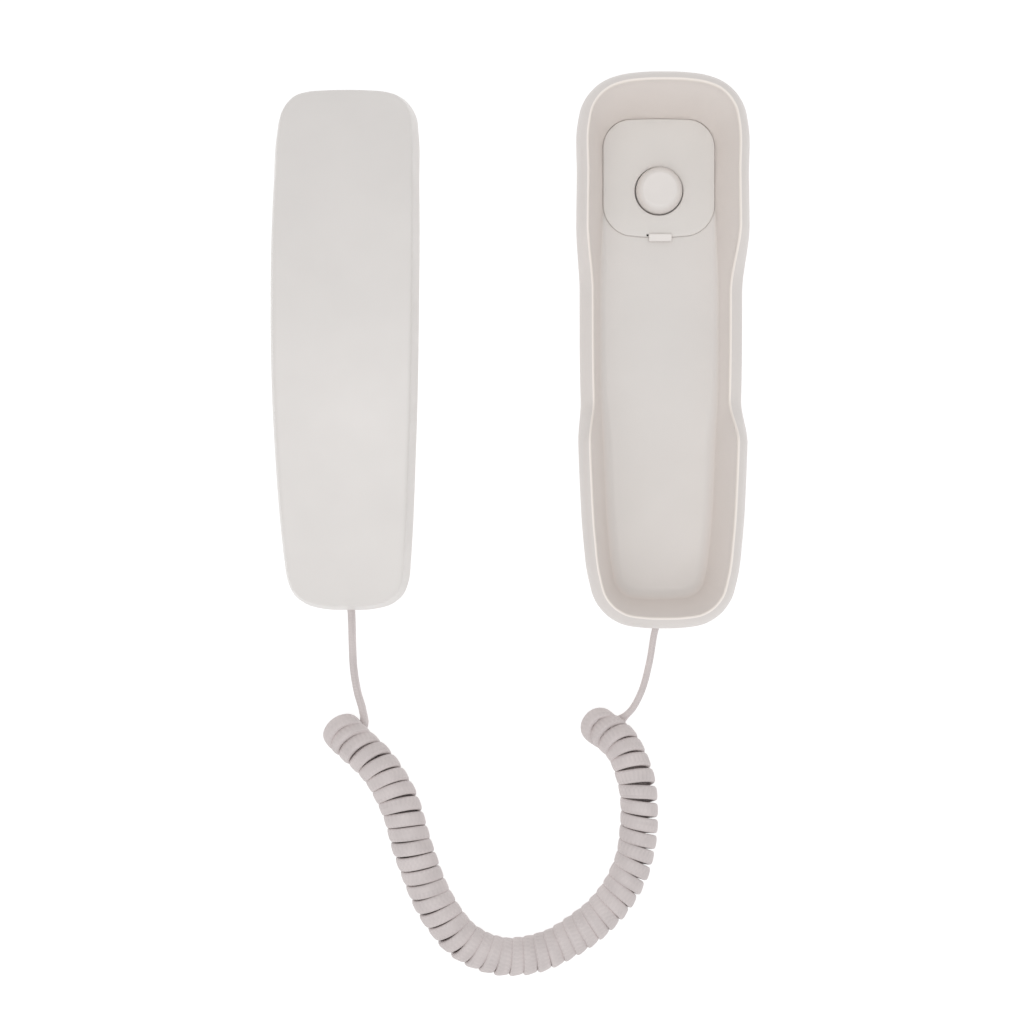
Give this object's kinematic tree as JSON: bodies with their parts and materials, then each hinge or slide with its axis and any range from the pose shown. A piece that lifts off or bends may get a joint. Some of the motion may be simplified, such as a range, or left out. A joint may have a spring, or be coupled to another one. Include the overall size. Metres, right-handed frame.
{
  "type": "corded landline phone",
  "caption": "Slim wall or desk telephone: tray cradle with domed hook button, arched handset lying beside it, coiled cord between their lower ends.",
  "frame": {"origin": "centre of the cradle's flat back face, which lies on the desk or against the wall", "axes": "+Y along the cradle towards the earpiece end, +Z out of the back face through the tray, +X across the cradle away from the handset"},
  "size_m": [0.1778, 0.3423, 0.0559],
  "materials": {
    "shell": "moulded, fine satin texture, warm off-white",
    "back_plate": "moulded, slightly duller than the shell",
    "knob": "moulded, satin",
    "circuit_board": "solder mask over glass-filled laminate",
    "components": "moulded component bodies",
    "spring_steel": "drawn wire",
    "socket": "moulded socket body",
    "metal": "zinc plated",
    "pads": "matt rubber",
    "speaker": "receiver frame and magnet",
    "foam": "closed-cell foam",
    "capsule": "drawn can",
    "boot": "matt rubber",
    "membrane": "silicone sheet",
    "keys": "moulded, satin",
    "cord": "soft cable jacket, matt, pinkish grey white",
    "plug": "clear moulding"
  },
  "bodies": {
    "base": {"cradle_shell": "shell", "back_plate": "back_plate", "base_pcb": "circuit_board", "base_parts": "components", "hook_spring": "spring_steel", "hook_switch": "components", "line_jack": "socket", "base_cord_jack": "socket", "ringer": "components", "ringer_switch_body": "metal", "case_screws": "metal", "rubber_pads": "pads", "coil_cord": "cord", "base_lead": "cord", "base_plug": "plug"},
    "handset": {"handset_back": "shell", "handset_front": "shell", "ear_speaker": "speaker", "ear_gasket": "foam", "microphone": "capsule", "mic_boot": "boot", "handset_pcb": "circuit_board", "handset_parts": "components", "keypad_membrane": "membrane", "handset_jack": "socket", "handset_weight": "metal", "handset_screws": "metal", "handset_lead": "cord", "handset_plug": "plug"},
    "hook_button": {"hook_button": "shell"},
    "hanger_tab": {"hanger_tab": "shell"},
    "ringer_switch": {"ringer_switch_knob": "knob"},
    "key_1": {"key_1": "keys"},
    "key_2": {"key_2": "keys"},
    "key_3": {"key_3": "keys"},
    "key_4": {"key_4": "keys"},
    "key_5": {"key_5": "keys"},
    "key_6": {"key_6": "keys"},
    "key_7": {"key_7": "keys"},
    "key_8": {"key_8": "keys"},
    "key_9": {"key_9": "keys"},
    "key_star": {"key_star": "keys"},
    "key_0": {"key_0": "keys"},
    "key_hash": {"key_hash": "keys"},
    "key_flash": {"key_flash": "keys"},
    "key_redial": {"key_redial": "keys"}
  },
  "joints": [
    {"name": "handset_lift", "type": "slide", "parent": "base", "child": "handset", "axis": [0, 0, 1], "range_m": [0, 0.06]},
    {"name": "hook_press", "type": "slide", "parent": "base", "child": "hook_button", "axis": [0, 0, -1], "range_m": [0, 0.0045], "stiffness_N_per_m": 150, "springref_m": -0.005, "deforming": ["hook_spring"]},
    {"name": "tab_pull", "type": "slide", "parent": "base", "child": "hanger_tab", "axis": [0, 0, 1], "range_m": [0, 0.005]},
    {"name": "ringer_select", "type": "slide", "parent": "base", "child": "ringer_switch", "axis": [0, 1, 0], "range_m": [-0.002, 0.002]},
    {"name": "key_1_press", "type": "slide", "parent": "handset", "child": "key_1", "axis": [0, 0, 1], "range_m": [0, 0.0012], "stiffness_N_per_m": 150, "springref_m": -0.002},
    {"name": "key_2_press", "type": "slide", "parent": "handset", "child": "key_2", "axis": [0, 0, 1], "range_m": [0, 0.0012], "stiffness_N_per_m": 150, "springref_m": -0.002},
    {"name": "key_3_press", "type": "slide", "parent": "handset", "child": "key_3", "axis": [0, 0, 1], "range_m": [0, 0.0012], "stiffness_N_per_m": 150, "springref_m": -0.002},
    {"name": "key_4_press", "type": "slide", "parent": "handset", "child": "key_4", "axis": [0, 0, 1], "range_m": [0, 0.0012], "stiffness_N_per_m": 150, "springref_m": -0.002},
    {"name": "key_5_press", "type": "slide", "parent": "handset", "child": "key_5", "axis": [0, 0, 1], "range_m": [0, 0.0012], "stiffness_N_per_m": 150, "springref_m": -0.002},
    {"name": "key_6_press", "type": "slide", "parent": "handset", "child": "key_6", "axis": [0, 0, 1], "range_m": [0, 0.0012], "stiffness_N_per_m": 150, "springref_m": -0.002},
    {"name": "key_7_press", "type": "slide", "parent": "handset", "child": "key_7", "axis": [0, 0, 1], "range_m": [0, 0.0012], "stiffness_N_per_m": 150, "springref_m": -0.002},
    {"name": "key_8_press", "type": "slide", "parent": "handset", "child": "key_8", "axis": [0, 0, 1], "range_m": [0, 0.0012], "stiffness_N_per_m": 150, "springref_m": -0.002},
    {"name": "key_9_press", "type": "slide", "parent": "handset", "child": "key_9", "axis": [0, 0, 1], "range_m": [0, 0.0012], "stiffness_N_per_m": 150, "springref_m": -0.002},
    {"name": "key_star_press", "type": "slide", "parent": "handset", "child": "key_star", "axis": [0, 0, 1], "range_m": [0, 0.0012], "stiffness_N_per_m": 150, "springref_m": -0.002},
    {"name": "key_0_press", "type": "slide", "parent": "handset", "child": "key_0", "axis": [0, 0, 1], "range_m": [0, 0.0012], "stiffness_N_per_m": 150, "springref_m": -0.002},
    {"name": "key_hash_press", "type": "slide", "parent": "handset", "child": "key_hash", "axis": [0, 0, 1], "range_m": [0, 0.0012], "stiffness_N_per_m": 150, "springref_m": -0.002},
    {"name": "key_flash_press", "type": "slide", "parent": "handset", "child": "key_flash", "axis": [0, 0, 1], "range_m": [0, 0.0012], "stiffness_N_per_m": 150, "springref_m": -0.002},
    {"name": "key_redial_press", "type": "slide", "parent": "handset", "child": "key_redial", "axis": [0, 0, 1], "range_m": [0, 0.0012], "stiffness_N_per_m": 150, "springref_m": -0.002}
  ]
}
